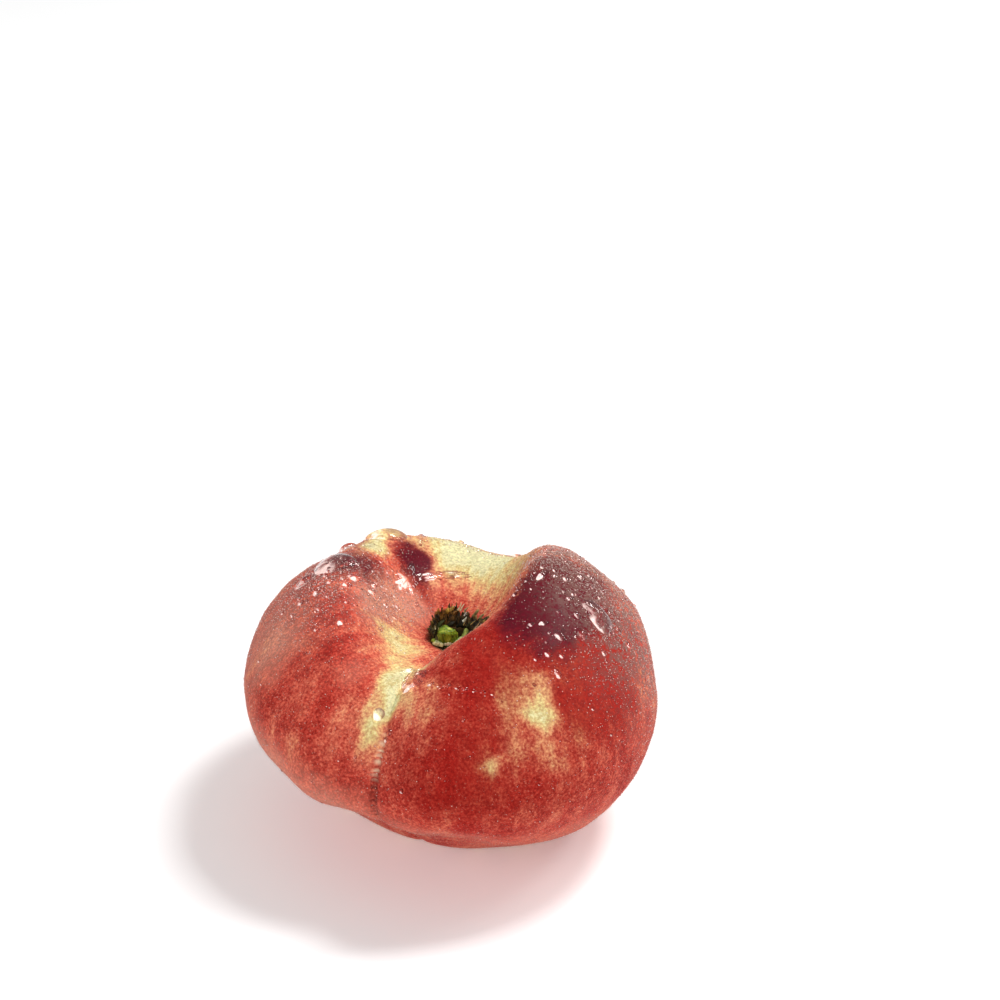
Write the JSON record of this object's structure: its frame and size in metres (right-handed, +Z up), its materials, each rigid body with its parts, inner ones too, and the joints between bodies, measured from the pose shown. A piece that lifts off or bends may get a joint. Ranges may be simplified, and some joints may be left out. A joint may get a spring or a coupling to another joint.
{
  "type": "flat peach",
  "caption": "Ripe flat peach with a deep stem cavity, a suture between two unlike lobes, and a stalk stub with dry scales.",
  "frame": {"origin": "on the ground, in the middle of the fruit's width and depth", "axes": "+Z up along the stalk, -Y towards the suture, +X towards the larger lobe"},
  "size_m": [0.0642, 0.0656, 0.0439],
  "materials": {
    "peach_skin": "downy red skin over cream and pale yellow",
    "stalk_green": "moist green stalk end",
    "dry_scale": "dry brown scale"
  },
  "bodies": {
    "root": {"fruit": "peach_skin", "stem_stub": "stalk_green", "stem_scales": "dry_scale"}
  },
  "joints": []
}
